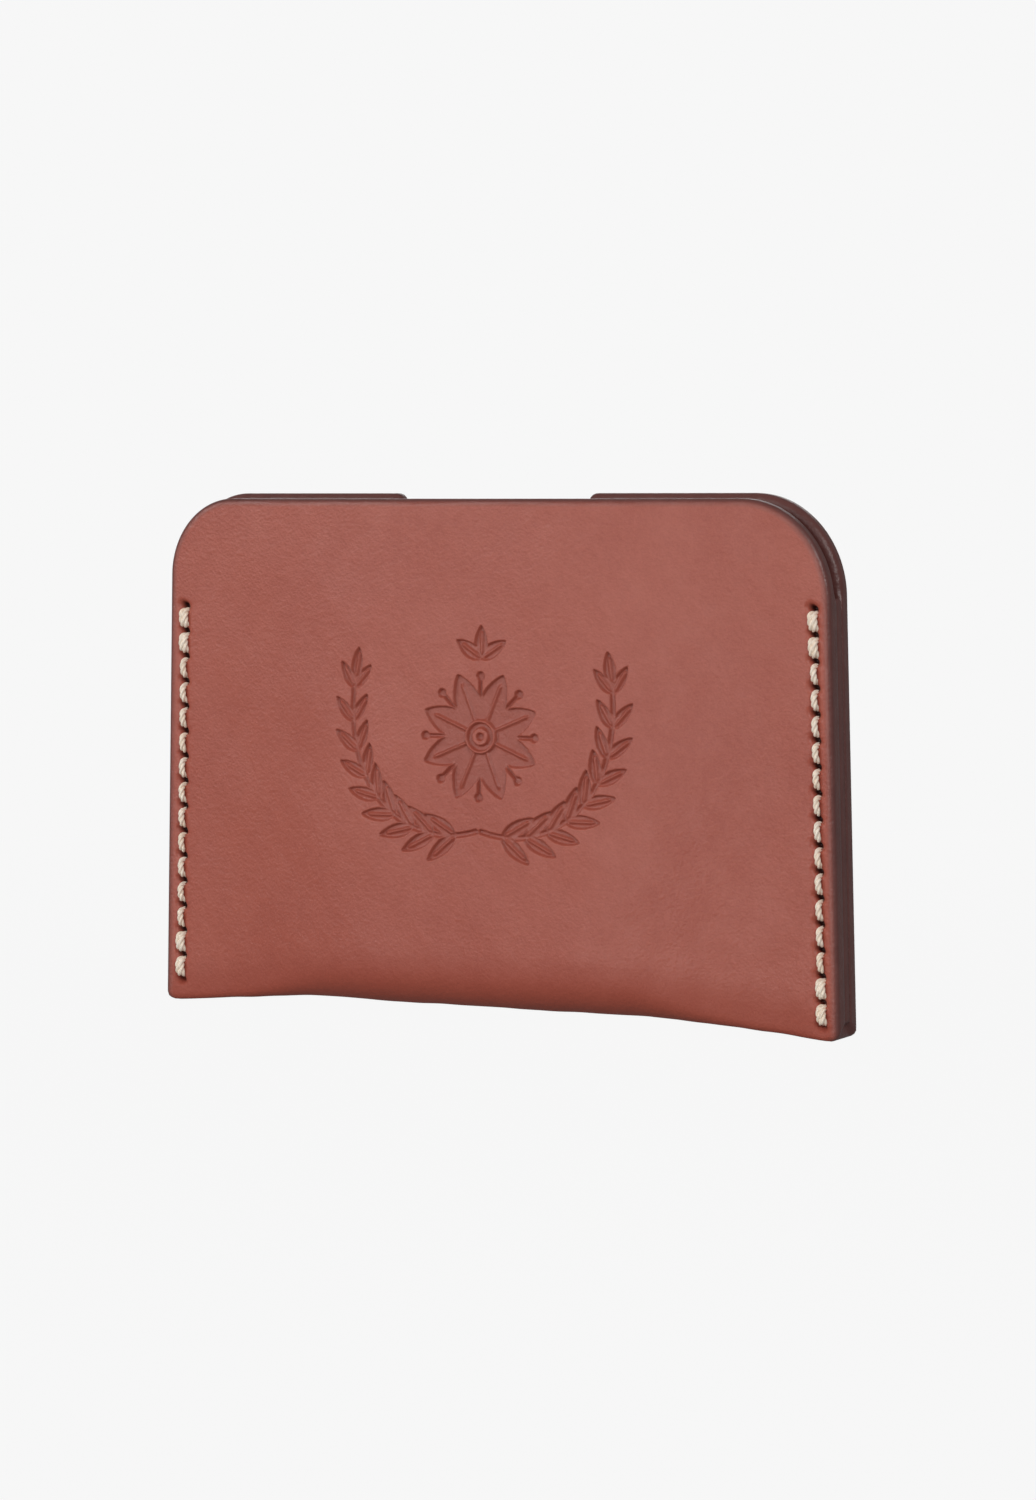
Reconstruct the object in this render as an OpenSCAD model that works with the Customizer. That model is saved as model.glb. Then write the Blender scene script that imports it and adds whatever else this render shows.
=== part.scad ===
// Leather card holder: one folded piece of thick bridle leather, two side welts and two sewn seams.
// Upright, +X to the right of the front face, -Y out of the front face, +Z up, in millimetres.
// The origin is under the middle of the holder, on the surface that it stands on.

/* [Body] */
// Width across the mouth
mouth_w = 100; // [92:0.2:130]
// How much wider the folded bottom is than the mouth
flare = 3.4; // [0:0.2:4]
// Height of the front panel
front_h = 70.7; // [60:0.1:100]
// How far the back panel stands above the front panel
back_rise = 0.7; // [0:0.1:4]
// Width of the rounded top corners on the left, which are cut a little tighter
left_corner_w = 9.5; // [6:0.1:13]
// Width of the rounded top corners on the right
right_corner_w = 12.2; // [6:0.1:13]
// How much taller than wide the rounded corners are
corner_stretch = 1.08; // [1:0.01:1.15]

/* [Leather] */
// Thickness of the folded leather
leather_t = 2.4; // [1.6:0.1:3]
// Thickness of the two side welts, which sets the room for cards
welt_t = 1.6; // [1.2:0.1:2.4]
// Width of the two side welts
welt_w = 5.5; // [4:0.5:7]
// How far the welts end below the front panel's top edge
welt_drop = 12.8; // [12:0.2:20]

/* [Fold and swell] */
// How far the front panel swells out above the fold, midway between the seams
fold_swell = 4.2; // [0:0.2:5]
// How far the front panel swells out at the mouth, midway between the seams
mouth_swell = 1.6; // [0:0.2:2]
// How far the middle of the fold stands above its two pinched ends
fold_lift = 1.8; // [0:0.1:3]

/* [Thumb notch] */
// Width of the notch in the back panel
notch_w = 29.6; // [20:0.2:36]
// How far the notch is punched to the left of the middle
notch_shift = 1; // [0:0.1:2]
// Depth of the notch, less than half of its width
notch_depth = 12.5; // [6:0.5:14]

/* [Stitching] */
// Distance from a side edge to its seam
seam_inset = 2.1; // [1.8:0.1:3]
// Number of stitches in the left seam
left_stitches = 15; // [8:1:15]
// Number of stitches in the right seam
right_stitches = 16; // [8:1:16]
// Length of a stitch in the left seam
left_pitch = 3.53; // [3:0.01:3.53]
// Length of a stitch in the right seam
right_pitch = 3.43; // [3:0.01:3.43]
// How far the left seam starts below the front panel's top edge
left_seam_drop = 14.7; // [13.5:0.1:14.7]
// How far the right seam starts below the front panel's top edge
right_seam_drop = 14; // [13.5:0.1:14]
// Diameter of the waxed thread
thread_d = 0.8; // [0.6:0.1:1]
// Number of stitches sewn twice at each end of a seam
tack_stitches = 2; // [1:1:3]

/* [Hidden] */

half_w = mouth_w / 2;
back_h = front_h + back_rise;
edge_t = 2 * leather_t + welt_t;
// Thread stands this far out of the leather, and is sunk this deep in its groove.
thread_proud = 0.35 * thread_d;
thread_sunk = thread_d - thread_proud;
tack_w = 1.75 * thread_d;
hole_r = 0.45 * thread_d;
leg_gap = 0.05;
// The box around the holder is centred on the origin from front to back.
back_y = (edge_t + fold_swell - thread_proud) / 2;
edge_front_y = back_y - edge_t;
edge_middle_y = back_y - edge_t / 2;
edge_tilt = atan(flare / 2 / front_h);

// The face's swell fades out over this length beside the welts.
// The fold's lift fades out over the next length to its ends.
face_ramp = 30;
fold_ramp = 28;
fold_ramp_power = 1.3;
// The face is straight from the mouth down and eases into the fold over this share of its height.
ease = 0.06;
// Half height of the rounded fold at the pinched ends, and the corner shapes of the fold's section.
end_fold_h = leather_t + 0.6;
end_squareness = 10;
middle_squareness = 2.1;
welt_bottom = end_fold_h + 0.3;

notch_half = notch_w / 2;
notch_r = (notch_half * notch_half + notch_depth * notch_depth) / 2 / notch_depth;
notch_angle = asin(notch_half / notch_r);

face_steps = 6;
fold_steps = 8;
corner_steps = 8;
flat_steps = 6;
notch_steps = 12;

function smooth(t) = let (c = min(1, max(0, t))) c * c * (3 - 2 * c);

// From 0 in the pinched seams to 1 in the free middle, for the face and for the fold.
function face_freedom(x) = smooth((half_w - welt_w - abs(x)) / face_ramp);
function fold_freedom(x) = pow(sin(90 * min(1, max(0, half_w - abs(x)) / fold_ramp)), fold_ramp_power);

// Sideways place of a point of the panels, which get wider towards the fold.
function flared(x, z) = x * (1 + flare / mouth_w * (1 - z / front_h));

// Height lost in a rounded top corner.
function corner_loss(x) =
    let (
        w = x < 0 ? left_corner_w : right_corner_w,
        past = max(0, abs(x) - (half_w - w))
    )
    corner_stretch * (w - sqrt(max(0, w * w - past * past)));

function notch_loss(x) =
    let (across = x + notch_shift)
    abs(across) >= notch_half ? 0
        : sqrt(notch_r * notch_r - across * across) - (notch_r - notch_depth);

function front_top(x) = front_h - corner_loss(x);
function back_top(x) = back_h - corner_loss(x) - notch_loss(x);

// The section across the fold, from the front face round to the back face.
function fold_swell_at(x) = fold_swell * face_freedom(x);
function half_depth(x) = (edge_t + fold_swell_at(x)) / 2;
function fold_h(x) = end_fold_h + (half_depth(x) - end_fold_h) * fold_freedom(x);
function fold_z(x) = fold_lift * fold_freedom(x) + fold_h(x);
function squareness(x) =
    end_squareness + (middle_squareness - end_squareness) * fold_freedom(x);

// How far the front face swells out at height z.
function eased(t) = sqrt(t * t + ease * ease) - ease;
function face_swell(x, z) =
    let (t = min(1, max(0, (z - fold_z(x)) / (front_h - fold_z(x)))))
    face_freedom(x) * (fold_swell + (mouth_swell - fold_swell) * eased(t) / eased(1));

// Points of one section, as [y, z], at a depth in the leather.
// They run down the front, round the fold and up the back.
function section(x, depth) =
    let (
        mid_y = back_y - half_depth(x),
        power = 2 / squareness(x),
        reach = half_depth(x) - depth,
        drop = fold_h(x) - depth
    )
    concat(
        [for (i = [0:face_steps])
            let (z = front_top(x) + (fold_z(x) - front_top(x)) * i / face_steps)
            [edge_front_y - face_swell(x, z) + depth, z]],
        [for (i = [1:fold_steps - 1])
            let (a = 180 * i / fold_steps)
            [mid_y - reach * sign(cos(a)) * pow(abs(cos(a)), power),
             fold_z(x) - drop * pow(sin(a), power)]],
        [[back_y - depth, fold_z(x)], [back_y - depth, back_top(x)]]
    );

function reversed(list) = [for (i = [len(list) - 1:-1:0]) list[i]];

// Stations across one half, closer together in the corner.
// The lip is how far the notch reaches on this side.
function half_stations(w, lip) = concat(
    [for (i = [0:flat_steps - 1]) lip + (half_w - w - lip) * i / flat_steps],
    [for (i = [0:corner_steps]) half_w - w + w * sin(90 * i / corner_steps)]
);
function notch_stations() =
    [for (i = [1 - notch_steps / 2:notch_steps / 2 - 1])
        notch_r * sin(notch_angle * i / notch_steps * 2) - notch_shift];
stations = concat(
    -reversed(half_stations(left_corner_w, notch_half + notch_shift)),
    notch_stations(),
    half_stations(right_corner_w, notch_half - notch_shift)
);

// One piece of leather: front panel, fold and back panel.
module folded_body() {
    rings = [for (x = stations)
        [for (p = concat(section(x, 0), reversed(section(x, leather_t))))
            [flared(x, p[1]), p[0], p[1]]]];
    n = len(rings[0]);
    last = len(rings) - 1;
    color("sienna")
        polyhedron(
            points = [for (ring = rings) each ring],
            faces = concat(
                [for (j = [0:last - 1]) for (i = [0:n - 1])
                    [j * n + i, (j + 1) * n + i, (j + 1) * n + (i + 1) % n]],
                [for (j = [0:last - 1]) for (i = [0:n - 1])
                    [j * n + i, (j + 1) * n + (i + 1) % n, j * n + (i + 1) % n]],
                [for (i = [0:n / 2 - 2]) [i, i + 1, n - 2 - i]],
                [for (i = [0:n / 2 - 2]) [i, n - 2 - i, n - 1 - i]],
                [for (i = [0:n / 2 - 2]) [last * n + i, last * n + n - 2 - i, last * n + i + 1]],
                [for (i = [0:n / 2 - 2]) [last * n + i, last * n + n - 1 - i, last * n + n - 2 - i]]
            )
        );
}

// A strip glued between the panels along one side, flush with their edges.
module welt() {
    top = front_h - welt_drop;
    color("saddlebrown")
        translate([0, edge_middle_y + welt_t / 2, 0])
            rotate([90, 0, 0])
                linear_extrude(height = welt_t)
                    polygon([
                        [flared(half_w, welt_bottom), welt_bottom],
                        [flared(half_w, top), top],
                        [flared(half_w, top) - welt_w, top],
                        [flared(half_w, welt_bottom) - welt_w, welt_bottom]
                    ]);
}

// Outline of a run of stitches from the side, as [depth, z]: a bar in the groove for each stitch, which
// dips at its holes, and a leg down each hole.
function run_outline(count, pitch) =
    let (leg_end = edge_t / 2 - leg_gap, bottom = -count * pitch)
    concat(
        [[0, hole_r]],
        [for (i = [0:count - 1]) each [
            [0, -i * pitch - hole_r / 2],
            [-thread_proud, -i * pitch - thread_d],
            [-thread_proud, -(i + 1) * pitch + thread_d],
            [0, -(i + 1) * pitch + hole_r / 2]
        ]],
        [[0, bottom - hole_r]],
        [for (i = [0:count]) each [
            [thread_sunk, bottom + i * pitch - hole_r],
            [leg_end, bottom + i * pitch - hole_r],
            [leg_end, bottom + i * pitch + hole_r],
            [thread_sunk, bottom + i * pitch + hole_r]
        ]]
    );

// A run of stitches on the front face, hanging down from its first hole at the origin.
module run(count, pitch, width) {
    rotate([90, 0, 90])
        linear_extrude(height = width, center = true)
            polygon(run_outline(count, pitch));
}

// A whole thread of the right seam on the front face, with its first and last stitches sewn twice.
module thread(count, pitch, drop) {
    top = front_h - drop;
    color("antiquewhite")
        translate([flared(half_w, top) - seam_inset, edge_front_y, top])
            rotate([0, -edge_tilt, 0]) {
                run(count, pitch, thread_d);
                run(tack_stitches, pitch, tack_w);
                translate([0, 0, -(count - tack_stitches) * pitch])
                    run(tack_stitches, pitch, tack_w);
            }
}

// The same thread turned to the back face.
module on_back() {
    translate([0, 2 * edge_middle_y, 0])
        mirror([0, 1, 0])
            children();
}

module on_left() {
    mirror([1, 0, 0])
        children();
}

module right_welt() {
    welt();
}

module left_welt() {
    on_left() welt();
}

module right_seam_needle_thread() {
    thread(right_stitches, right_pitch, right_seam_drop);
}

module right_seam_bobbin_thread() {
    on_back() thread(right_stitches, right_pitch, right_seam_drop);
}

module left_seam_needle_thread() {
    on_left() thread(left_stitches, left_pitch, left_seam_drop);
}

module left_seam_bobbin_thread() {
    on_left() on_back() thread(left_stitches, left_pitch, left_seam_drop);
}

folded_body();
left_welt();
right_welt();
left_seam_needle_thread();
left_seam_bobbin_thread();
right_seam_needle_thread();
right_seam_bobbin_thread();
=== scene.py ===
"""The looks of a leather card holder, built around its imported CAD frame.

Lengths inside the shape functions are in millimetres and become metres when a mesh is made.
The body leather is described on its flat pattern: x runs across the holder, and s runs down the
front panel, round the fold and up the back panel.
"""

import math
import random

import bmesh
import bpy
import numpy as np
from mathutils import Euler, Matrix, Vector
from mathutils.geometry import delaunay_2d_cdt


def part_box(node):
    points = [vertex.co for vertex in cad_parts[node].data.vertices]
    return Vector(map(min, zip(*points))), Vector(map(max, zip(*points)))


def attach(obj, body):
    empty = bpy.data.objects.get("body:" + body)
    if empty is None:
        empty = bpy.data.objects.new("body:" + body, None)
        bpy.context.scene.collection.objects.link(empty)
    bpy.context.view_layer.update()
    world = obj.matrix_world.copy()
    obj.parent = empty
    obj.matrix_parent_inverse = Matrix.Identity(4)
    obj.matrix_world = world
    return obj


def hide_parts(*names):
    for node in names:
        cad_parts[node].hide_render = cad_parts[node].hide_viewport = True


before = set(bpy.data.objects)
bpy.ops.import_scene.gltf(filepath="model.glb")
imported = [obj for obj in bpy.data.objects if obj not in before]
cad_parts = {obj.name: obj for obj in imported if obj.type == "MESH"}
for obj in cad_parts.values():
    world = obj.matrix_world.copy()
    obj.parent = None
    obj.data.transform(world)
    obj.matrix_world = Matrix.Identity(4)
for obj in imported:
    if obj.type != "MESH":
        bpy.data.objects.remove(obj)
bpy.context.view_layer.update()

MM = 0.001


def box_mm(node):
    """A CAD node's lowest and highest corners, in millimetres."""
    low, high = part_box(node)
    return [v / MM for v in low], [v / MM for v in high]


# ---------------------------------------------------------------- sizes
# Dimensions of the CAD model, from the boxes of its parts where they give them.
body_low, body_high = box_mm("folded_body")
welt_low, welt_high = box_mm("right_welt")
FLARE = 3.4
LEATHER_T = 2.4
WELT_T = welt_high[1] - welt_low[1]
EDGE_T = 2 * LEATHER_T + WELT_T
HALF_W = body_high[0] - FLARE / 2
BACK_RISE = 0.7
BACK_H = body_high[2]
FRONT_H = BACK_H - BACK_RISE
BACK_Y = body_high[1]
EDGE_FRONT_Y = BACK_Y - EDGE_T
EDGE_MIDDLE_Y = BACK_Y - EDGE_T / 2
CORNER_W = {-1: 9.5, 1: 12.2}
CORNER_STRETCH = 1.08
WELT_W = 5.5
WELT_TOP = welt_high[2]

FOLD_SWELL = EDGE_FRONT_Y - body_low[1]
MOUTH_SWELL = 1.6
FOLD_LIFT = 1.8
FACE_RAMP = 30
FOLD_RAMP = 28
FOLD_RAMP_POWER = 1.3
EASE = 0.06
END_FOLD_H = LEATHER_T + 0.6
END_SQUARENESS = 10
MIDDLE_SQUARENESS = 2.1

NOTCH_HALF = 14.8
NOTCH_DEPTH = 12.5
NOTCH_SHIFT = 1.0
NOTCH_R = (NOTCH_HALF**2 + NOTCH_DEPTH**2) / 2 / NOTCH_DEPTH
NOTCH_LIP_R = 0.9

SEAM_INSET = 2.1
THREAD_D = 0.8
# Side of the holder, number of stitches, their pitch and the first hole's distance from the top.
SEAMS = {"left": (-1, 15, 3.53, 14.7), "right": (1, 16, 3.43, 14.0)}
TACK_STITCHES = 2

# Flat pattern: lengths given to the front panel, the fold and the back panel.
FACE_S = FRONT_H - END_FOLD_H
FOLD_S = 10.0
BACK_S = BACK_H - END_FOLD_H
PATTERN_S = FACE_S + FOLD_S + BACK_S


def smooth(t):
    """From 0 to 1, with a soft start and a soft end."""
    c = np.clip(t, 0, 1)
    return c * c * (3 - 2 * c)


# ---------------------------------------------------------------- the folded shape
def face_freedom(x):
    """How free the front is to swell: 0 over the welts and 1 in the middle."""
    return smooth((HALF_W - WELT_W - np.abs(x)) / FACE_RAMP)


def fold_freedom(x):
    """How free the fold is to open: 0 at its pinched ends and 1 in the middle."""
    t = np.clip((HALF_W - np.abs(x)) / FOLD_RAMP, 0, 1)
    return np.sin(np.pi / 2 * t) ** FOLD_RAMP_POWER


def half_depth(x):
    """Half of the holder's thickness at the fold."""
    return (EDGE_T + FOLD_SWELL * face_freedom(x)) / 2


def fold_h(x):
    """Height of the bend, from its lowest point up to the straight panels."""
    return END_FOLD_H + (half_depth(x) - END_FOLD_H) * fold_freedom(x)


def fold_z(x):
    """Height at which the bend ends and the straight panels start."""
    return FOLD_LIFT * fold_freedom(x) + fold_h(x)


def squareness(x):
    """Power of the bend's section: 2 gives an ellipse, and more is squarer."""
    return END_SQUARENESS + (MIDDLE_SQUARENESS - END_SQUARENESS) * fold_freedom(x)


def face_swell(x, z):
    """How far the front stands forward of its sewn edges."""
    t = np.clip((z - fold_z(x)) / (FRONT_H - fold_z(x)), 0, 1)
    eased = np.sqrt(t * t + EASE * EASE) - EASE
    full = math.sqrt(1 + EASE * EASE) - EASE
    return face_freedom(x) * (FOLD_SWELL + (MOUTH_SWELL - FOLD_SWELL) * eased / full)


def flared(x, z):
    """A nominal x moved out by the flare from the mouth to the fold."""
    return x * (1 + FLARE / (2 * HALF_W) * (1 - z / FRONT_H))


def front_s(x, z):
    """Pattern length of a point of the front panel, from its height."""
    return (FRONT_H - z) / (FRONT_H - fold_z(x)) * FACE_S


def back_s(x, z):
    """Pattern length of a point of the back panel, from its height."""
    return FACE_S + FOLD_S + (z - fold_z(x)) / (BACK_H - fold_z(x)) * BACK_S


def place(x, s, depth):
    """Points of the folded leather from its flat pattern, depth in from the outer surface."""
    x, s = np.asarray(x, float), np.asarray(s, float)
    depth = np.broadcast_to(np.asarray(depth, float), x.shape)
    zf = fold_z(x)
    front_z = FRONT_H - s / FACE_S * (FRONT_H - zf)
    front_y = EDGE_FRONT_Y - face_swell(x, front_z) + depth
    back_z = zf + (s - FACE_S - FOLD_S) / BACK_S * (BACK_H - zf)
    back_y = BACK_Y - depth
    angle = np.clip((s - FACE_S) / FOLD_S, 0, 1) * np.pi
    reach, drop, n = half_depth(x) - depth, fold_h(x) - depth, squareness(x)
    c, d = np.abs(np.cos(angle)), np.sin(angle)
    radius = ((c / reach) ** n + (d / drop) ** n) ** (-1 / n)
    bend_y = BACK_Y - half_depth(x) - radius * np.cos(angle)
    bend_z = zf - radius * d
    on_front, on_back = s <= FACE_S, s >= FACE_S + FOLD_S
    y = np.where(on_front, front_y, np.where(on_back, back_y, bend_y))
    z = np.where(on_front, front_z, np.where(on_back, back_z, bend_z))
    return np.stack([flared(x, z), y, z], axis=-1)


def is_front(s):
    """Whether a pattern length is on the front's side of the fold."""
    return s < FACE_S + FOLD_S / 2


# ---------------------------------------------------------------- seams
def seam_holes(name):
    """Needle holes of a seam, from the top, as nominal x and height."""
    side, count, pitch, drop = SEAMS[name]
    heights = FRONT_H - drop - pitch * np.arange(count + 1)
    return side * (HALF_W - SEAM_INSET), heights


GROOVE_DEPTH, GROOVE_HALF = 0.2, 0.62
HOLE_DEPTH, HOLE_LONG, HOLE_SHORT = 1.2, 0.68, 0.46
HOLE_TILT = math.radians(40)
HOLE_REACH = 1.6
PINCH_DEPTH, PINCH_HALF = 0.12, 1.7
GROOVE_RUN_OUT = 0.9


def seam_press(x, z):
    """Depth pressed into the leather by the seams, and how much of it is needle hole."""
    groove = np.zeros_like(x)
    hole = np.zeros_like(x)
    for name in SEAMS:
        hx, hz = seam_holes(name)
        across = x - hx
        low_end = smooth((z - hz[-1] + GROOVE_RUN_OUT) / GROOVE_RUN_OUT)
        high_end = smooth((hz[0] + GROOVE_RUN_OUT - z) / GROOVE_RUN_OUT)
        run = low_end * high_end
        groove += run * GROOVE_DEPTH * np.exp(-((across / GROOVE_HALF) ** 2))
        groove += run * PINCH_DEPTH * np.exp(-((across / PINCH_HALF) ** 2))
        near = np.abs(across) < HOLE_REACH
        for height in hz:
            along = z[near] - height
            a = across[near] * math.cos(HOLE_TILT) - along * math.sin(HOLE_TILT)
            b = across[near] * math.sin(HOLE_TILT) + along * math.cos(HOLE_TILT)
            size = np.exp(-((a / HOLE_LONG) ** 2) - (b / HOLE_SHORT) ** 2)
            hole[near] = np.maximum(hole[near], size)
    return groove + HOLE_DEPTH * hole, hole


# ---------------------------------------------------------------- the pressed ornament
MARK_X, MARK_Z = 0.5, 38.3
MARK_DEPTH = 0.55
MARK_WALL = 0.22
MARK_HALF_W, MARK_HALF_H = 23.0, 17.0
MARK_MARGIN = 3


def bezier(points, t):
    """Places and slopes along a cubic curve with four control points."""
    p0, p1, p2, p3 = (np.array(p, float) for p in points)
    t = np.asarray(t, float)[..., None]
    at = (1 - t) ** 3 * p0 + 3 * (1 - t) ** 2 * t * p1 + 3 * (1 - t) * t**2 * p2 + t**3 * p3
    slope = 3 * (1 - t) ** 2 * (p1 - p0) + 6 * (1 - t) * t * (p2 - p1) + 3 * t**2 * (p3 - p2)
    return at, slope


BRANCH = [(0.4, -12.2), (11.0, -15.5), (21.5, -7.0), (19.4, 8.2)]
STEM_HALF, STEM_PRESS = 0.3, 0.9
LEAF_PAIRS, LEAF_TURN = 9, 0.62
LEAF_L, LEAF_L_STEP = 5.4, 0.16
LEAF_W, LEAF_W_STEP = 1.9, 0.05
TIP_L, TIP_W = 4.2, 1.6
SPRIG_Z, SPRIG_TURN, SPRIG_L, SPRIG_W = 11.2, 1.0, 4.4, 1.9


def mark_leaves():
    """Leaves of the wreath and the sprig over the flower: base x, z, angle, length and width."""
    leaves = []
    steps = np.linspace(0.1, 0.97, LEAF_PAIRS)
    at, slope = bezier(BRANCH, steps)
    for i, (p, d) in enumerate(zip(at, slope)):
        along = math.atan2(d[1], d[0])
        length = LEAF_L - LEAF_L_STEP * i
        for turn in (LEAF_TURN, -LEAF_TURN):
            leaves.append((p[0], p[1], along + turn, length, LEAF_W - LEAF_W_STEP * i))
    tip, tip_slope = (values[0] for values in bezier(BRANCH, [1.0]))
    leaves.append((*tip, math.atan2(tip_slope[1], tip_slope[0]), TIP_L, TIP_W))
    leaves += [(-x, z, math.pi - angle, length, width) for x, z, angle, length, width in leaves]
    for turn in (-SPRIG_TURN, 0, SPRIG_TURN):
        leaves.append((0, SPRIG_Z, math.pi / 2 + turn, SPRIG_L, SPRIG_W))
    return leaves


FLOWER_Z, PETALS, PETAL_FROM, PETAL_L, PETAL_W = 0.6, 8, 1.6, 7.4, 3.9
HEART_R, HEART_GAP, HEART_RING_W, HEART_DOT_R = 1.9, 0.4, 0.7, 0.5
STAMEN_FROM, STAMEN_TO, STAMEN_HALF = 5.0, 8.2, 0.22
ANTHER_L, ANTHER_HALF = 0.01, 0.55
# Powers that shape the outline of a leaf.
LEAF_LEAN, LEAF_BLUNT = 0.8, 0.75
# The rib of a leaf: its height and half width, and where it starts and ends along the leaf.
RIB_RISE, RIB_HALF = 0.62, 0.2
RIB_START, RIB_END, RIB_TAPER = 0.15, 0.86, 0.12


def leaf_press(x, z, leaf):
    """A leaf or petal pressed in, with a raised rib along its middle, from 0 to 1."""
    bx, bz, angle, length, width = leaf
    u = (x - bx) * math.cos(angle) + (z - bz) * math.sin(angle)
    v = -(x - bx) * math.sin(angle) + (z - bz) * math.cos(angle)
    t = np.clip(u / length, 0, 1)
    half = width / 2 * np.sin(np.pi * t**LEAF_LEAN) ** LEAF_BLUNT
    inside = smooth((half - np.abs(v)) / MARK_WALL + 0.5) * (u > 0) * (u < length)
    ridge = RIB_RISE * np.exp(-((v / RIB_HALF) ** 2))
    rib = ridge * smooth(t / RIB_START) * smooth((RIB_END - t) / RIB_TAPER)
    return inside * (1 - rib)


def stroke_press(x, z, points, half):
    """A line pressed in along a curve, from 0 to 1."""
    gap = np.full_like(x, 99.0)
    for (ax, az), (bx, bz) in zip(points, points[1:]):
        dx, dz = bx - ax, bz - az
        t = np.clip(((x - ax) * dx + (z - az) * dz) / (dx * dx + dz * dz), 0, 1)
        gap = np.minimum(gap, np.hypot(x - ax - t * dx, z - az - t * dz))
    return smooth((half - gap) / MARK_WALL + 0.5)


def mark_press(across, height):
    """The generic ornament, a flower in a leafy wreath, pressed into the front: 0 to 1."""
    x, z = across - MARK_X, height - MARK_Z
    press = np.zeros_like(x)
    box = (np.abs(x) < MARK_HALF_W + MARK_MARGIN) & (np.abs(z) < MARK_HALF_H + MARK_MARGIN)
    if not box.any():
        return press
    px, pz = x[box], z[box]
    made = np.zeros_like(px)
    branch = bezier(BRANCH, np.linspace(0, 1, 24))[0]
    for side in (1, -1):
        stem = STEM_PRESS * stroke_press(px, pz, branch * [side, 1], STEM_HALF)
        made = np.maximum(made, stem)
    for leaf in mark_leaves():
        made = np.maximum(made, leaf_press(px, pz, leaf))
    for i in range(PETALS):
        angle = 2 * math.pi * (i + 0.5) / PETALS
        base = (PETAL_FROM * math.cos(angle), FLOWER_Z + PETAL_FROM * math.sin(angle))
        petal = leaf_press(px, pz, (*base, angle, PETAL_L, PETAL_W))
        made = np.maximum(made, petal)
        between = angle + math.pi / PETALS
        way = np.array([math.cos(between), math.sin(between)])
        ends = [way * reach + (0, FLOWER_Z) for reach in (STAMEN_FROM, STAMEN_TO)]
        made = np.maximum(made, stroke_press(px, pz, ends, STAMEN_HALF))
        anther = [ends[1], ends[1] + ANTHER_L * way]
        made = np.maximum(made, stroke_press(px, pz, anther, ANTHER_HALF))
    from_heart = np.hypot(px, pz - FLOWER_Z)

    def disc(radius):
        return smooth((radius - from_heart) / MARK_WALL + 0.5)

    ring = disc(HEART_R) - disc(HEART_R - HEART_RING_W)
    made = made * (1 - disc(HEART_R + HEART_GAP)) + ring + disc(HEART_DOT_R)
    press[box] = np.clip(made, 0, 1)
    return press


# ---------------------------------------------------------------- slight unevenness of the hide
# Each wave's height, how often it comes across and along the pattern, and its phase.
HIDE_WAVES = (
    (0.045, 0.071, 0.052, 0.3),
    (0.030, -0.043, 0.094, 1.9),
    (0.020, 0.152, -0.081, 4.1),
    (0.012, 0.231, 0.173, 2.6),
    (0.008, -0.315, 0.264, 5.2),
)
HIDE_STRETCH = 1.6
FLAT_RIM, FLAT_RIM_RAMP = 1.0, 8


def unevenness(x, s):
    """Gentle waves of the hide, as depth."""
    height = 0
    for size, across, along, phase in HIDE_WAVES:
        height = height + size * np.sin(2 * np.pi * (across * x + along * s) / HIDE_STRETCH + phase)
    return height


def outer_depth(x, s):
    """Depth of the outer surface below its smooth form, with the masks that the leather uses."""
    z = place(x, s, 0.0)[:, 2]
    seam, hole = seam_press(x, z)
    mark = mark_press(x, z) * is_front(s)
    settle = smooth((HALF_W - FLAT_RIM - np.abs(x)) / FLAT_RIM_RAMP)
    return seam + MARK_DEPTH * mark + settle * unevenness(x, s), mark, hole


# ---------------------------------------------------------------- outline of the flat pattern
OUTLINE_STEP = 0.4


def spread(points, step):
    """The same line with points about a step apart."""
    points = np.array(points, float)
    run = np.concatenate([[0], np.cumsum(np.hypot(*np.diff(points, axis=0).T))])
    at = np.linspace(0, run[-1], max(2, round(run[-1] / step) + 1))
    return np.stack([np.interp(at, run, points[:, i]) for i in (0, 1)], axis=1)


def arc(cx, cz, rx, rz, start, end, n=40):
    """Points of an elliptical arc between two angles in degrees."""
    a = np.radians(np.linspace(start, end, n))
    return np.stack([cx + rx * np.cos(a), cz + rz * np.sin(a)], axis=1)


FOLD_CORNER_R, FOLD_CORNER_STOP = 0.9, 0.02
SIDE_POINTS, LIP_POINTS, NOTCH_POINTS = 600, 14, 60


def round_trim(s):
    """How far the side edge is rounded off where it turns under the fold."""
    height = place(np.full_like(s, HALF_W), s, 0.0)[:, 2]
    below = np.clip(FOLD_CORNER_R - height, 0, FOLD_CORNER_R - FOLD_CORNER_STOP)
    return FOLD_CORNER_R - np.sqrt(FOLD_CORNER_R**2 - below**2)


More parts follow.
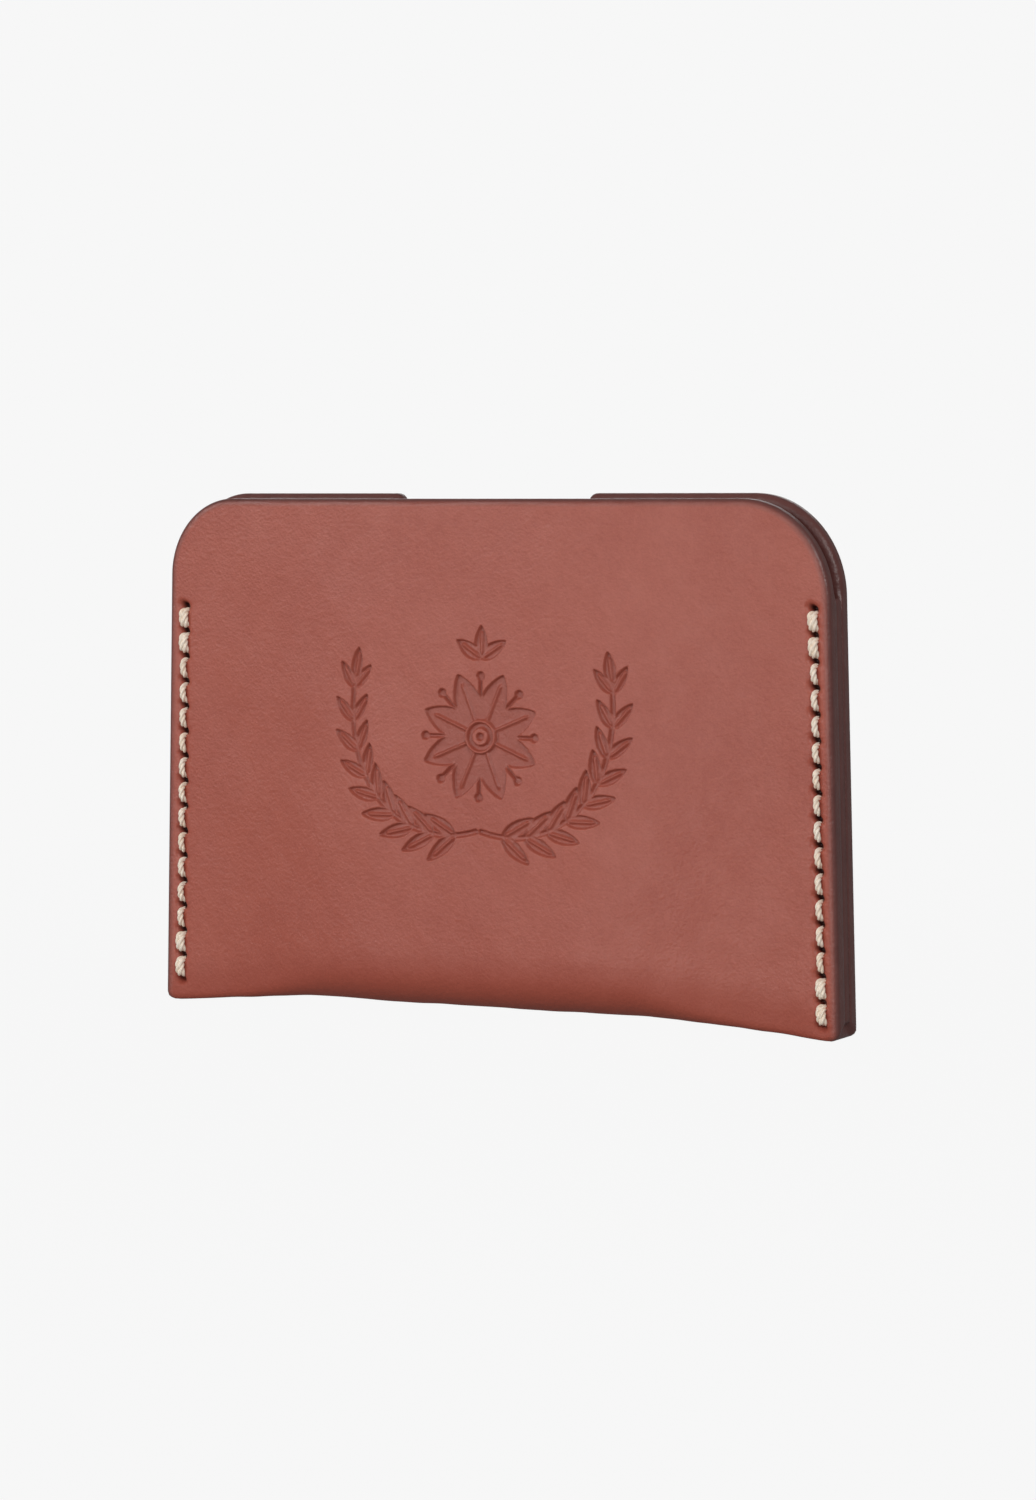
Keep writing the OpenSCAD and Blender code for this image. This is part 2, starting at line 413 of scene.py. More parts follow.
def half_outline(side):
    """One half of the outline as pattern points, from the middle of the mouth round to the notch."""
    rx, rz = CORNER_W[side], CORNER_W[side] * CORNER_STRETCH
    inner = HALF_W - rx
    front = np.concatenate([[(0, FRONT_H)], arc(inner, FRONT_H - rz, rx, rz, 90, 0)])
    front = np.stack([front[:, 0], front_s(front[:, 0], front[:, 1])], axis=1)
    side_s = np.linspace(front[-1, 1], back_s(np.array(HALF_W), BACK_H - rz), SIDE_POINTS)
    edge = np.stack([HALF_W - round_trim(side_s), side_s], axis=1)
    back = arc(inner, BACK_H - rz, rx, rz, 0, 90)
    middle = -side * NOTCH_SHIFT
    lip_x = math.sqrt((NOTCH_R + NOTCH_LIP_R) ** 2 - (NOTCH_R - NOTCH_DEPTH + NOTCH_LIP_R) ** 2)
    notch_z = BACK_H + NOTCH_R - NOTCH_DEPTH
    meet = math.degrees(math.atan2(BACK_H - NOTCH_LIP_R - notch_z, lip_x))
    lip_z = BACK_H - NOTCH_LIP_R
    lip = arc(middle + lip_x, lip_z, NOTCH_LIP_R, NOTCH_LIP_R, 90, 180 + meet, LIP_POINTS)
    bowl = arc(middle, notch_z, NOTCH_R, NOTCH_R, meet, -90, NOTCH_POINTS)
    back = np.concatenate([back, lip, bowl])
    back = np.stack([back[:, 0], back_s(back[:, 0], back[:, 1])], axis=1)
    return spread(np.concatenate([front, edge, back]), OUTLINE_STEP) * [side, 1]


def pattern_outline():
    """The closed outline, with each point's outward direction."""
    loop = np.concatenate([half_outline(1), half_outline(-1)[-2:0:-1]])
    ahead, behind = np.roll(loop, -1, axis=0), np.roll(loop, 1, axis=0)
    way = ahead - behind
    way /= np.linalg.norm(way, axis=1, keepdims=True)
    return loop, np.stack([way[:, 1], -way[:, 0]], axis=1)


# ---------------------------------------------------------------- mesh helpers
def new_object(name, verts, faces, layers=None):
    """An object from points in millimetres and faces, with float layers on its points."""
    mesh = bpy.data.meshes.new(name)
    mesh.from_pydata((np.asarray(verts) * MM).tolist(), [], faces)
    for layer, values in (layers or {}).items():
        attribute = mesh.attributes.new(layer, "FLOAT", "POINT")
        attribute.data.foreach_set("value", np.asarray(values, np.float32))
    mesh.validate()
    for polygon in mesh.polygons:
        polygon.use_smooth = True
    obj = bpy.data.objects.new(name, mesh)
    bpy.context.scene.collection.objects.link(obj)
    return obj


def weld(obj, distance):
    """Joins points that lie on each other and turns every face outwards."""
    work = bmesh.new()
    work.from_mesh(obj.data)
    bmesh.ops.remove_doubles(work, verts=work.verts, dist=distance)
    bmesh.ops.recalc_face_normals(work, faces=work.faces)
    work.to_mesh(obj.data)
    work.free()


def fill_loop(loop, inside):
    """Triangles over a closed loop of pattern points, using the given points inside it."""
    points = np.concatenate([loop, inside])
    n = len(loop)
    edges = [(i, (i + 1) % n) for i in range(n)]
    made = delaunay_2d_cdt([Vector(p) for p in points], edges, [], 1, 1e-6)
    return np.array([tuple(v) for v in made[0]]), [tuple(f) for f in made[2]]


def in_loop(loop, points):
    """Which points lie inside a closed loop."""
    hit = np.zeros(len(points), bool)
    x, y = points.T
    for (x1, y1), (x2, y2) in zip(loop, np.roll(loop, -1, axis=0)):
        cross = (y1 > y) != (y2 > y)
        if y1 != y2:
            hit ^= cross & (x < (x2 - x1) * (y - y1) / (y2 - y1) + x1)
    return hit


def grid(step):
    """Pattern points on a grid, every other row shifted by half a step."""
    rows = np.arange(step, PATTERN_S, step * 0.87)
    across = np.arange(-HALF_W, HALF_W, step)
    x, s = np.meshgrid(across, rows)
    x = x + (np.arange(len(rows)) % 2)[:, None] * step / 2
    return np.stack([x.ravel(), s.ravel()], axis=1)


# ---------------------------------------------------------------- the folded body
# Point masks of the body; the last one paints shade where the front turns under into the fold.
MASKS = ("burnish", "flesh", "mark", "hole", "under")
OUTER_BEVEL = 0.62
RIM_BURNISH = 0.25
INNER_BEVEL = 0.85
GLUED_BEVEL = 0.12
EDGE_DOME = 0.28
BURNISH_TURN = 50
BEVEL_ANGLES = (0, 22.5, 45, 67.5, 90)
GLUED_W = 4
# Steps of the grids that the outer surface is made on: plain, curved, sewn and pressed leather.
GRID_STEPS = (1.0, 0.5, 0.2, 0.14)
PLAIN, CURVED, SEWN, PRESSED = range(4)
SEWN_HALF, SEWN_BELOW, SEWN_ABOVE = 1.1, 0.8, 0.9
CURVED_RIM, CURVED_BEFORE, CURVED_AFTER = 5, 6, 4
PRESSED_REACH, PRESSED_LEAST = 0.3, 0.02
# Distances in from the bevel to the first ring of points, and to the grid.
FADE_RING, GRID_FROM = 0.3, 0.45
# Painted shade where the front turns under into the fold: it starts this far before the fold along the
# pattern and grows over this length.
FOLD_SHADE_FROM, FOLD_SHADE_RAMP = 4, 5
INNER_STEP, INNER_MARGIN = 1.6, 0.6
COLLAR = (0.4, 0.8, 1.2, 1.6)
LIP_BURNISH_FROM, LIP_BURNISH_RAMP = 0.2, 1.1


def edge_profile(bevel_in):
    """Steps round an edge from the outer to the inner surface: inset, depth and burnish."""
    steps = []
    for angle in BEVEL_ANGLES:
        turn = math.radians(angle)
        inset = OUTER_BEVEL - (OUTER_BEVEL + EDGE_DOME) * math.sin(turn) * np.ones_like(bevel_in)
        depth = OUTER_BEVEL * (1 - math.cos(turn)) * np.ones_like(bevel_in)
        burnish = RIM_BURNISH + (1 - RIM_BURNISH) * float(smooth(angle / BURNISH_TURN))
        steps.append((inset, depth, burnish))
    for share in (0.33, 0.67):
        depth = OUTER_BEVEL + (LEATHER_T - bevel_in - OUTER_BEVEL) * share
        steps.append((-EDGE_DOME * np.ones_like(bevel_in), depth, 1))
    for angle in BEVEL_ANGLES[::-1]:
        turn = math.radians(angle)
        inset = bevel_in - (bevel_in + EDGE_DOME) * math.sin(turn)
        depth = LEATHER_T - bevel_in * (1 - math.cos(turn))
        steps.append((inset, depth, 1))
    return steps


def near_mark(x, z):
    """Which points lie on the pressed ornament or close beside it."""
    moves = (-PRESSED_REACH, 0, PRESSED_REACH)
    around = [mark_press(x + dx, z + dz) for dx in moves for dz in moves]
    return np.max(around, axis=0) > PRESSED_LEAST


def fineness(points):
    """Which of GRID_STEPS the outer surface needs at each pattern point."""
    x, s = points.T
    z = place(x, s, 0.0)[:, 2]
    low = min(seam_holes(name)[1][-1] for name in SEAMS)
    high = FRONT_H - min(seam[3] for seam in SEAMS.values())
    on_line = np.abs(np.abs(x) - (HALF_W - SEAM_INSET)) < SEWN_HALF
    sewn = on_line & (z > low - SEWN_BELOW) & (z < high + SEWN_ABOVE)
    bent = (s > FACE_S - CURVED_BEFORE) & (s < FACE_S + FOLD_S + CURVED_AFTER)
    level = np.where(bent | (np.abs(x) > HALF_W - CURVED_RIM), CURVED, PLAIN)
    close = is_front(s) & (np.abs(x - MARK_X) < MARK_HALF_W) & (np.abs(z - MARK_Z) < MARK_HALF_H)
    marked = np.zeros(len(x), bool)
    marked[close] = near_mark(x[close], z[close])
    level = np.where(close, CURVED, level)
    level = np.where(sewn, SEWN, level)
    return np.where(marked, PRESSED, level)


def folded_body():
    """The folded leather: its domed edge, then its outer and its inner surface."""
    loop, out = pattern_outline()
    heights = place(loop[:, 0], loop[:, 1], 0.0)[:, 2]
    glued = smooth((WELT_TOP + 1 - heights) / 2) * (np.abs(loop[:, 0]) > HALF_W - GLUED_W)
    bevel_in = INNER_BEVEL + (GLUED_BEVEL - INNER_BEVEL) * glued
    profile = edge_profile(bevel_in)

    verts, faces, masks = [], [], []

    def add(points, burnish, flesh=0, mark=0, hole=0, under=0):
        start = sum(len(v) for v in verts)
        verts.append(points)
        n = len(points)
        layers = [np.broadcast_to(m, n) for m in (burnish, flesh, mark, hole, under)]
        masks.append(np.stack(layers, axis=1))
        return start

    # Edge: loops of points round the profile.
    starts = []
    for i, (inset, depth, burnish) in enumerate(profile):
        ring = loop - out * inset[:, None]
        extra = outer_depth(*ring.T)[0] if i == 0 else 0.0
        starts.append(add(place(ring[:, 0], ring[:, 1], depth + extra), burnish))
    n = len(loop)
    for a, b in zip(starts, starts[1:]):
        faces += [(a + k, a + (k + 1) % n, b + (k + 1) % n, b + k) for k in range(n)]

    # Outer surface, with finer points where it is pressed, sewn or bent.
    rim = loop - out * profile[0][0][:, None]
    fade = loop - out * (OUTER_BEVEL + FADE_RING)
    safe = loop - out * (OUTER_BEVEL + GRID_FROM)
    grids = [grid(step) for step in GRID_STEPS]
    inside = np.concatenate([points[fineness(points) == level] for level, points in enumerate(grids)])
    inside = inside[in_loop(safe, inside)]
    flat, triangles = fill_loop(rim, np.concatenate([fade, inside]))
    extra, mark, hole = outer_depth(*flat.T)
    tinged = RIM_BURNISH * (np.arange(len(flat)) < len(rim))
    # Painted shade: how much the front is darkened where it turns under into the fold.
    under = smooth((flat[:, 1] - FACE_S + FOLD_SHADE_FROM) / FOLD_SHADE_RAMP) * is_front(flat[:, 1])
    start = add(place(flat[:, 0], flat[:, 1], extra), tinged, 0, mark, hole, under)
    faces += [tuple(start + i for i in f) for f in triangles]

    # Inner surface: the burnish reaches a little way down from the lip.
    rim = loop - out * profile[-1][0][:, None]
    collar = [rim - out * reach for reach in COLLAR]
    inside = grid(INNER_STEP)
    inside = inside[in_loop(collar[-1] - out * INNER_MARGIN, inside)]
    flat, triangles = fill_loop(rim, np.concatenate([*(ring[::2] for ring in collar), inside]))
    away = np.min([np.hypot(*(flat - point).T) for point in loop[::2]], axis=0)
    lip = 1 - smooth((away - INNER_BEVEL - LIP_BURNISH_FROM) / LIP_BURNISH_RAMP)
    start = add(place(flat[:, 0], flat[:, 1], LEATHER_T), lip, 1 - lip)
    faces += [tuple(start + i for i in f) for f in triangles]

    masks = np.concatenate(masks)
    layers = {name: masks[:, i] for i, name in enumerate(MASKS)}
    piece = new_object("folded_leather_body", np.concatenate(verts), faces, layers)
    weld(piece, 1e-7)
    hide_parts("folded_body")
    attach(piece, "root")
    return piece


# ---------------------------------------------------------------- the side welts
WELT_FOOT = 0.9
WELT_END_R, WELT_END_SHRINK, WELT_END_THIN = 0.5, 0.35, 0.6
WELT_GAP, WELT_SUNK = 0.01, 0.04
WELT_CORNER_R = 0.12


def welt(name):
    """A strip between the panels, just inside their domed edges and rounded at its top."""
    side = SEAMS[name][0]
    bottom = welt_low[2] - WELT_FOOT
    end_z = WELT_TOP - WELT_END_R
    rounded = end_z + WELT_END_R * np.sin(np.radians([30, 60, 85]))
    heights = np.concatenate([np.linspace(bottom, end_z, 110), rounded])
    corner = WELT_CORNER_R
    rings, masks = [], []
    for z in heights:
        past = max(0, z - end_z) / WELT_END_R
        shrink = WELT_END_SHRINK * (1 - math.sqrt(1 - min(1, past) ** 2))
        half = WELT_T / 2 - WELT_GAP - shrink * WELT_END_THIN
        outer = float(flared(HALF_W, z)) + EDGE_DOME - WELT_SUNK - shrink
        inner = float(flared(HALF_W, z)) - WELT_W
        ring, mask = [], []
        corners = ((outer, half, 0), (inner, half, 90), (inner, -half, 180), (outer, -half, 270))
        for cx, cy, start in corners:
            px = cx - corner if cx == outer else cx + corner
            py = cy - corner if cy > 0 else cy + corner
            for a in np.radians([start, start + 45, start + 90]):
                across, deep = px + corner * math.cos(a), py + corner * math.sin(a)
                ring.append((side * across, EDGE_MIDDLE_Y + deep, z))
                mask.append(1.0 if cx == outer else 0.0)
        rings.append(ring)
        masks += mask
    n = len(rings[0])
    verts = [p for ring in rings for p in ring]
    faces = [
        (j * n + i, j * n + (i + 1) % n, (j + 1) * n + (i + 1) % n, (j + 1) * n + i)
        for j in range(len(rings) - 1)
        for i in range(n)
    ]
    faces += [tuple(range(n)), tuple(range((len(rings) - 1) * n, len(rings) * n))]
    piece = new_object(name + "_leather_welt", verts, faces, {"burnish": masks})
    weld(piece, 1e-8)
    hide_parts(name + "_welt")
    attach(piece, "root")
    return piece


# ---------------------------------------------------------------- the sewing threads
PLIES = 3
TWIST_LENGTH = 2.6
LEG_DEPTH = EDGE_T / 2 - 0.25
DIVE_DEPTH = 1.0
THREAD_PROUD = 0.16
STITCH_LEG, STITCH_POWER = 0.74, 3.4
STITCH_SLANT, SLANT_VARIES, TACK_SLANT = 0.12, 0.04, 0.08
DOUBLED_SHIFT, TACK_MARGIN = 0.26, 0.1
CORD_STEP = 0.13
PLY_SIDES = 9
# Three plies that touch fit a cord 2.155 times as thick as one, and they are pressed together.
CORD_PER_PLY = 2.155
PLY_SWELL = 1.26


def stitch_path(top, pitch, sideways, proud):
    """One stitch as points across the seam, depth and distance down from the top hole."""
    middle, half = pitch / 2, pitch / 2 - STITCH_LEG
    down = np.linspace(LEG_DEPTH, DIVE_DEPTH, 6)
    points = [(0, d, middle - half) for d in down]
    power = STITCH_POWER
    for angle in np.radians(np.linspace(0, 180, 41))[1:-1]:
        c, d = abs(math.cos(angle)), math.sin(angle)
        reach, rise = half, DIVE_DEPTH + proud
        radius = ((c / reach) ** power + (d / rise) ** power) ** (-1 / power)
        along = middle - radius * math.cos(angle)
        share = along / pitch
        points.append((sideways * (2 * share - 1), DIVE_DEPTH - radius * d, along))
    points += [(0, d, middle + half) for d in down[::-1]]
    return [(a, b, c + top) for a, b, c in points]


def smooth_line(points, step):
    """Evenly spaced points along a line, rounded where it turns."""
    points = np.array(points, float)
    run = np.concatenate([[0], np.cumsum(np.linalg.norm(np.diff(points, axis=0), axis=1))])
    at = np.linspace(0, run[-1], int(run[-1] / step) + 2)
    line = np.stack([np.interp(at, run, points[:, i]) for i in range(3)], axis=1)
    for _ in range(3):
        line[1:-1] = 0.25 * line[:-2] + 0.5 * line[1:-1] + 0.25 * line[2:]
    return line


def twisted_cord(line, thickness, phase):
    """Points and faces of a cord of twisted plies along a line."""
    ply = thickness / 2 / CORD_PER_PLY
    offset = thickness / 2 - ply
    tangent = np.gradient(line, axis=0)
    tangent /= np.linalg.norm(tangent, axis=1, keepdims=True)
    side = np.array([1.0, 0, 0]) - tangent * tangent[:, :1]
    side /= np.linalg.norm(side, axis=1, keepdims=True)
    up = np.cross(tangent, side)
    run = np.concatenate([[0], np.cumsum(np.linalg.norm(np.diff(line, axis=0), axis=1))])
    sides = PLY_SIDES
    verts, faces = [], []
    for k in range(PLIES):
        turn = 2 * np.pi * (run / TWIST_LENGTH + k / PLIES) + phase
        centre = line + offset * (np.cos(turn)[:, None] * side + np.sin(turn)[:, None] * up)
        start = len(verts) * len(line) * sides
        rings = []
        for a in 2 * np.pi * np.arange(sides) / sides:
            spin = a + turn
            around = np.cos(spin)[:, None] * side + np.sin(spin)[:, None] * up
            rings.append(centre + ply * PLY_SWELL * around)
        verts.append(np.stack(rings, axis=1).reshape(-1, 3))
        n = len(line)
        faces += [
            (start + j * sides + i, start + j * sides + (i + 1) % sides,
             start + (j + 1) * sides + (i + 1) % sides, start + (j + 1) * sides + i)
            for j in range(n - 1)
            for i in range(sides)
        ]
        faces.append(tuple(start + i for i in range(sides)))
        faces.append(tuple(start + (n - 1) * sides + i for i in range(sides)))
    return np.concatenate(verts), faces


def seam_thread(name, on_back):
    """One thread of a seam, on the front or the back face, sewn twice at both ends."""
    side, count, pitch, drop = SEAMS[name]
    rng = random.Random(f"{name} {on_back}")
    runs = [[]]
    for i in range(count):
        sideways = STITCH_SLANT + rng.uniform(-SLANT_VARIES, SLANT_VARIES)
        runs[0] += stitch_path(i * pitch, pitch, sideways, THREAD_PROUD)
    tacks = [range(TACK_STITCHES), range(count - TACK_STITCHES, count)]
    for tack in tacks:
        run = []
        for i in tack:
            run += stitch_path(i * pitch, pitch, TACK_SLANT, THREAD_PROUD)
        runs.append(run)
    verts, faces = [], []
    total = 0
    for k, run in enumerate(runs):
        line = smooth_line(run, CORD_STEP)
        height = FRONT_H - drop - line[:, 2]
        tack_l = TACK_STITCHES * pitch + TACK_MARGIN
        doubled = (line[:, 2] < tack_l) | (line[:, 2] > count * pitch - tack_l)
        shift = (-DOUBLED_SHIFT if k == 0 else DOUBLED_SHIFT) * doubled
        for _ in range(4):
            shift[1:-1] = 0.25 * shift[:-2] + 0.5 * shift[1:-1] + 0.25 * shift[2:]
        x = side * (flared(HALF_W, height) - SEAM_INSET) + line[:, 0] + shift
        depth = line[:, 1]
        y = BACK_Y - depth if on_back else EDGE_FRONT_Y + depth
        path = np.stack([x, y, height], axis=1)
        made, polygons = twisted_cord(path, THREAD_D, rng.uniform(0, 6))
        verts.append(made)
        faces += [tuple(total + i for i in f) for f in polygons]
        total += len(made)
    kind = "bobbin" if on_back else "needle"
    piece = new_object(f"{name}_{kind}_waxed_thread", np.concatenate(verts), faces)
    weld(piece, 1e-8)
    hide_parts(f"{name}_seam_{kind}_thread")
    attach(piece, "root")
    return piece


# ---------------------------------------------------------------- materials
def srgb(r, g, b):
    """A colour given in 0 to 255 as the eye sees it, as linear light."""
    return [((v / 255 + 0.055) / 1.055) ** 2.4 if v > 10 else v / 255 / 12.92 for v in (r, g, b)] + [1.0]


class Nodes:
    """Short calls to build a material's nodes."""

    def __init__(self, name):
        self.material = bpy.data.materials.new(name)
        self.material.use_nodes = True
        self.tree = self.material.node_tree
        self.shader = self.tree.nodes["Principled BSDF"]

    def add(self, kind, inputs=(), **settings):
        node = self.tree.nodes.new(kind)
        for key, value in settings.items():
            setattr(node, key, value)
        for key, value in dict(inputs).items():
            if isinstance(value, bpy.types.NodeSocket):
                self.tree.links.new(value, node.inputs[key])
            else:
                node.inputs[key].default_value = value
        return node

    def set(self, **values):
        for key, value in values.items():
            socket = self.shader.inputs[key.replace("_", " ")]
            if isinstance(value, bpy.types.NodeSocket):
                self.tree.links.new(value, socket)
            else:
                socket.default_value = value

    def place(self):
        return self.add("ShaderNodeTexCoord").outputs["Object"]

    def mask(self, name):
        return self.add("ShaderNodeAttribute", attribute_name=name).outputs["Fac"]

    def noise(self, where, scale, detail=3.0, rough=0.55, warp=0.0):
        inputs = {"Vector": where, "Scale": scale, "Detail": detail, "Roughness": rough}
        inputs["Distortion"] = warp
        return self.add("ShaderNodeTexNoise", inputs).outputs["Fac"]

    def cells(self, where, scale):
        inputs = {"Vector": where, "Scale": scale}
        return self.add("ShaderNodeTexVoronoi", inputs, feature="F1").outputs["Distance"]

    def span(self, value, low, high, to_low=0.0, to_high=1.0):
        inputs = {"Value": value, "From Min": low, "From Max": high, "To Min": to_low, "To Max": to_high}
        return self.add("ShaderNodeMapRange", inputs).outputs["Result"]

    def math(self, operation, a, b=0.0):
        return self.add("ShaderNodeMath", {0: a, 1: b}, operation=operation).outputs[0]

    def mix(self, share, a, b, blend="MIX"):
        node = self.add("ShaderNodeMix", data_type="RGBA", blend_type=blend)
        for key, value in ((0, share), (6, a), (7, b)):
            if isinstance(value, bpy.types.NodeSocket):
                self.tree.links.new(value, node.inputs[key])
            else:
                node.inputs[key].default_value = value
        return node.outputs[2]

    def bump(self, height, strength, distance, normal=None):
        inputs = {"Height": height, "Strength": strength, "Distance": distance}
        if normal is not None:
            inputs["Normal"] = normal
        return self.add("ShaderNodeBump", inputs).outputs["Normal"]


# Noise scales are per metre, so that 1000 gives detail of about a millimetre.
EDGE_DARK = srgb(96, 55, 51)
SUEDE_SCALE, SUEDE_TONES = 1500.0, (srgb(150, 104, 80), srgb(122, 78, 58))
EDGE_SCALE = 420.0


def body_leather():
    """Waxed leather with its grain, pressed and sewn marks, rough inside and burnished edge; shade is
    painted into the pressed ornament, the needle holes and where the front turns under into the fold.
    """
    n = Nodes("bridle_leather")
    where = n.place()
    burnish, flesh, mark, hole, under = (n.mask(m) for m in MASKS)
    cloud = n.noise(where, 45.0, 3.0, 0.55, 0.3)
    mottle = n.noise(where, 260.0, 4.0, 0.6)
    pebble = n.noise(where, 1150.0, 3.0, 0.6)
    grain = n.cells(where, 2200.0)
    pores = n.noise(where, 4600.0, 2.0, 0.5)
    base = n.mix(n.span(cloud, 0.3, 0.7), srgb(162, 78, 62), srgb(170, 87, 70))
    base = n.mix(n.span(mottle, 0.35, 0.75, 0.0, 0.35), base, srgb(152, 70, 55))
    base = n.mix(n.span(pores, 0.35, 0.7, 0.0, 0.2), base, srgb(191, 102, 83))
    base = n.mix(n.span(pebble, 0.4, 0.7, 0.0, 0.25), base, srgb(184, 97, 79))
    # Painted shade: the pressed ornament is darkened in its recesses.
    base = n.mix(n.span(mark, 0.0, 1.0, 0.0, 0.24), base, srgb(112, 50, 41))
    # Painted shade: the needle holes are darkened almost to black.
    base = n.mix(n.span(hole, 0.2, 0.7), base, srgb(52, 17, 11))
    suede = n.mix(n.noise(where, SUEDE_SCALE, 4.0), *SUEDE_TONES)
    # Painted shade: the front is darkened and deepened in colour where it turns under into the fold.
    base = n.mix(n.math("MULTIPLY", under, 0.45), base, srgb(146, 58, 38))
    base = n.mix(flesh, base, suede)
    edge_tone = n.mix(n.noise(where, EDGE_SCALE, 3.0), EDGE_DARK, srgb(120, 74, 69))
    base = n.mix(burnish, base, edge_tone)
    rough = n.span(mottle, 0.3, 0.7, 0.35, 0.44)
    rough = n.math("ADD", rough, n.math("MULTIPLY", under, 0.22))
    rough = n.math("ADD", rough, n.math("MULTIPLY", flesh, 0.35))
    rough = n.math("SUBTRACT", rough, n.math("MULTIPLY", burnish, 0.06))
    height = n.math("ADD", n.math("MULTIPLY", grain, 0.5), n.math("MULTIPLY", mottle, 0.5))
    height = n.math("ADD", height, n.math("MULTIPLY", pebble, 1.1))
    normal = n.bump(height, 0.7, 0.00009)
    normal = n.bump(pores, 0.3, 0.00004, normal)
    n.set(Base_Color=base, Roughness=rough, Normal=normal)
    n.shader.inputs["Specular IOR Level"].default_value = 0.45
    return n.material


def welt_leather():
    """Raw leather, burnished along its outer edge."""
    n = Nodes("burnished_welt")
    where = n.place()
    edge_tone = n.mix(n.noise(where, EDGE_SCALE, 3.0), EDGE_DARK, srgb(122, 76, 71))
    raw = n.mix(n.noise(where, SUEDE_SCALE, 4.0), *SUEDE_TONES)
    base = n.mix(n.mask("burnish"), raw, edge_tone)
    fibre = n.noise(where, 2400.0, 3.0)
    rough = n.span(fibre, 0.3, 0.7, 0.42, 0.56)
    n.set(Base_Color=base, Roughness=rough, Normal=n.bump(fibre, 0.3, 0.00004))
    return n.material


def waxed_thread():
    """Cream thread with fine fibres."""
    n = Nodes("waxed_thread")
    where = n.place()
    fibre = n.noise(where, 6000.0, 3.0)
    tone = n.noise(where, 300.0, 2.0)
    base = n.mix(n.span(tone, 0.3, 0.7), srgb(251, 232, 210), srgb(255, 243, 227))
    base = n.mix(n.span(fibre, 0.4, 0.75, 0.0, 0.3), base, srgb(236, 206, 176))
    rough = n.span(fibre, 0.3, 0.7, 0.5, 0.66)
    n.set(Base_Color=base, Roughness=rough, Normal=n.bump(fibre, 0.4, 0.00005))
    return n.material


def wear(piece, material):
    """Gives a piece its one material."""
    piece.data.materials.clear()
    piece.data.materials.append(material)


# ---------------------------------------------------------------- stage, lights and camera
FLOOR_HALF = 6.0
FLOOR_TONE = (0.8, 0.8, 0.8, 1.0)
BACKDROP = 0.93
# The floor shows this share of its own shade near the holder, and none beyond the reach.
SHADOW_SHARE = 0.01
SHADOW_FROM, SHADOW_REACH = 0.08, 0.3


def stage():
    """A pale floor that fades into the pale backdrop, so that no horizon shows."""
    mesh = bpy.data.meshes.new("floor")
    work = bmesh.new()
    bmesh.ops.create_grid(work, x_segments=2, y_segments=2, size=FLOOR_HALF)
    work.to_mesh(mesh)
    work.free()
    floor = bpy.data.objects.new("floor", mesh)
    bpy.context.scene.collection.objects.link(floor)
    n = Nodes("pale_floor")
    n.set(Base_Color=FLOOR_TONE, Roughness=0.9)
    distance = n.add("ShaderNodeVectorMath", {0: n.place()}, operation="LENGTH").outputs["Value"]
    share = n.span(distance, SHADOW_FROM, SHADOW_REACH, SHADOW_SHARE, 0.0)
    glow = n.add("ShaderNodeEmission", {"Color": (1, 1, 1, 1), "Strength": BACKDROP}).outputs[0]
    both = n.add("ShaderNodeMixShader", {0: share, 1: glow, 2: n.shader.outputs[0]})
    n.tree.links.new(both.outputs[0], n.tree.nodes["Material Output"].inputs[0])
    floor.data.materials.append(n.material)
    floor.visible_diffuse = False
    floor.visible_glossy = False
    floor.visible_shadow = False
    return floor


AIM = Vector((0, 0, 0.036))
WORLD_LIGHT = 0.213
PANEL_DISTANCE = 1.0
# Name, azimuth, elevation, size in metres and power in watts.
PANELS = (
    ("low_front", -14, -8, 0.32, 0.89),
    ("front", 0, 5, 0.32, 0.94),
    ("front_high", 0, 20, 0.32, 0.49),
    ("left", -28, 20, 0.32, 0.91),
    ("far_left", -45, 20, 0.32, 1.33),
    ("far_left_low", -45, 5, 0.32, 0.48),
    ("right", 45, 25, 0.4, 2.8),
    ("behind", 208, 7, 0.8, 3.4),
)


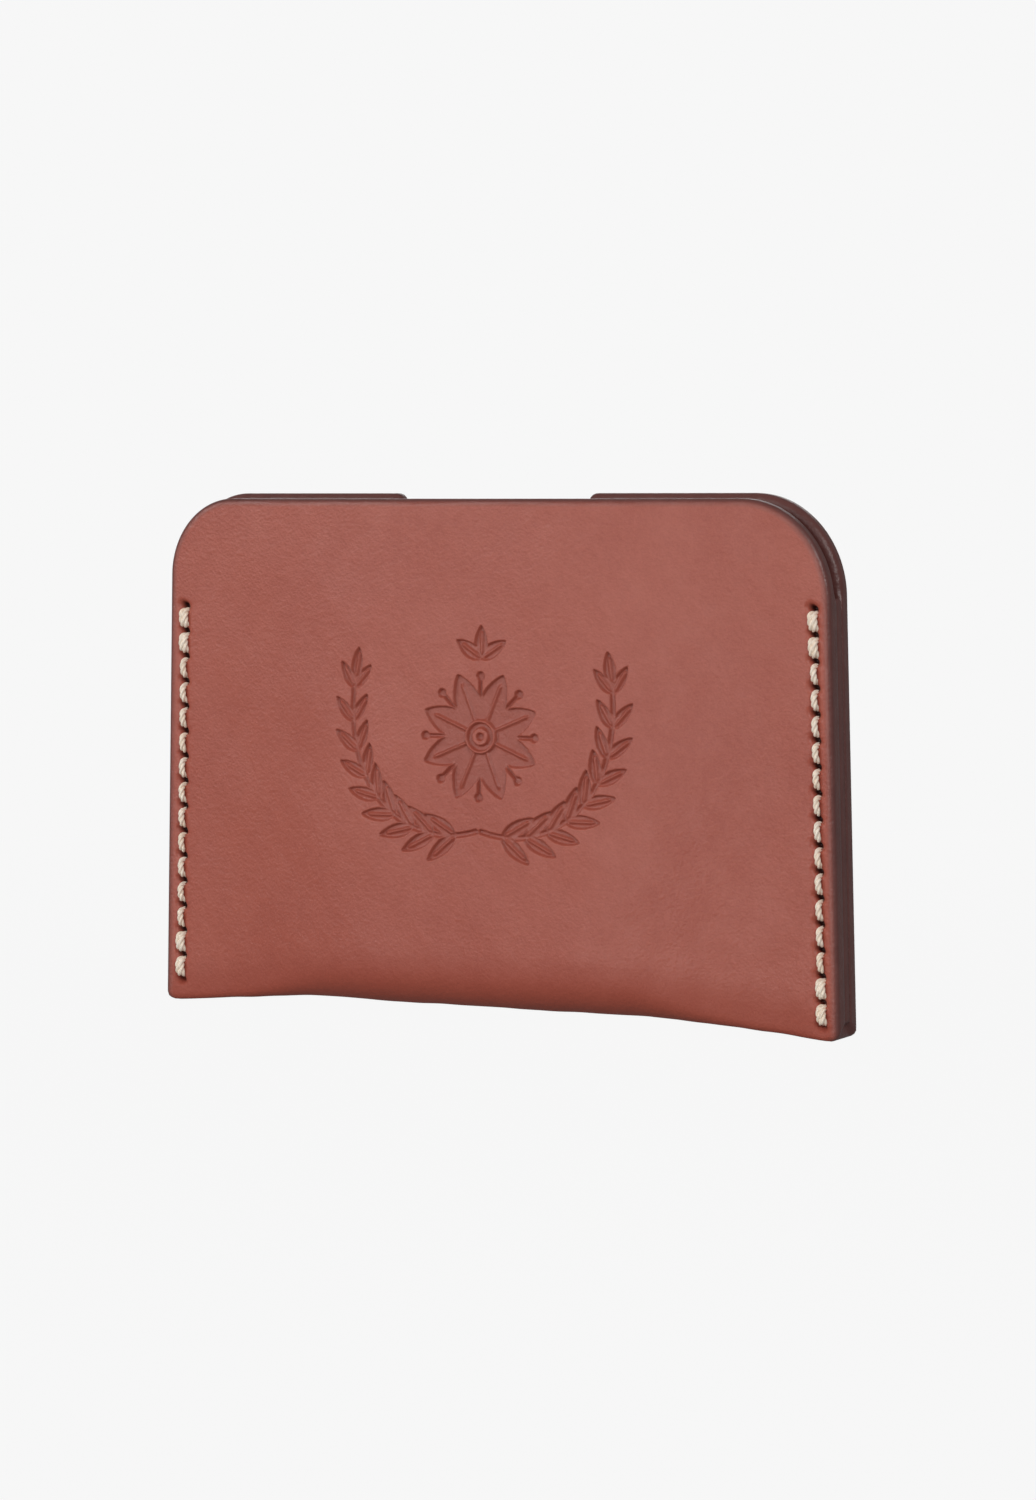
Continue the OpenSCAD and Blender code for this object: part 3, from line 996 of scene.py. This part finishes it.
def area_light(name, azimuth, elevation, size, power):
    """A square panel aimed at the holder: azimuth from its front towards +X, in degrees."""
    data = bpy.data.lights.new(name, "AREA")
    data.shape = "SQUARE"
    data.size = size
    data.energy = power
    lamp = bpy.data.objects.new(name, data)
    a, e = math.radians(azimuth), math.radians(elevation)
    way = Vector((math.sin(a) * math.cos(e), -math.cos(a) * math.cos(e), math.sin(e)))
    lamp.location = AIM + way * PANEL_DISTANCE
    lamp.rotation_euler = way.to_track_quat("Z", "Y").to_euler()
    bpy.context.scene.collection.objects.link(lamp)


def lights():
    """An even pale surrounding, dimmer as light than as backdrop, and the panels."""
    world = bpy.data.worlds.new("studio")
    world.use_nodes = True
    nodes, links = world.node_tree.nodes, world.node_tree.links
    background = nodes["Background"]
    background.inputs["Color"].default_value = (1, 1, 1, 1)
    seen = nodes.new("ShaderNodeLightPath").outputs["Is Camera Ray"]
    strength = nodes.new("ShaderNodeMapRange")
    strength.inputs["To Min"].default_value = WORLD_LIGHT
    strength.inputs["To Max"].default_value = BACKDROP
    links.new(seen, strength.inputs["Value"])
    links.new(strength.outputs["Result"], background.inputs["Strength"])
    bpy.context.scene.world = world
    for panel in PANELS:
        area_light(*panel)


YAW = math.radians(28.02)
PITCH = math.radians(3.861)
ROLL = math.radians(-0.245)
DISTANCE, ASIDE, ABOVE = 0.5697, 0.00425, 0.00467
LENS, SENSOR_W, NEAREST = 101.08, 36.0, 0.01


def camera():
    """A long lens a little above the mouth, seeing the front from its right."""
    data = bpy.data.cameras.new("camera")
    data.lens = LENS
    data.sensor_width = SENSOR_W
    data.clip_start = NEAREST
    made = bpy.data.objects.new("camera", data)
    bpy.context.scene.collection.objects.link(made)
    toward = Vector((math.sin(YAW), -math.cos(YAW), 0))
    right = Vector((math.cos(YAW), math.sin(YAW), 0))
    face = Vector((0, EDGE_FRONT_Y * MM, FRONT_H * MM + ABOVE))
    made.location = face + toward * DISTANCE + right * ASIDE
    level = Euler((math.pi / 2 - PITCH, 0, YAW)).to_matrix()
    made.rotation_euler = (level @ Matrix.Rotation(ROLL, 3, "Z")).to_euler()
    bpy.context.scene.camera = made


# ---------------------------------------------------------------- the whole scene
leather, edge, cord = body_leather(), welt_leather(), waxed_thread()
wear(folded_body(), leather)
for seam in SEAMS:
    wear(welt(seam), edge)
    wear(seam_thread(seam, False), cord)
    wear(seam_thread(seam, True), cord)

stage()
lights()
camera()

bpy.context.scene.view_settings.view_transform = "Standard"
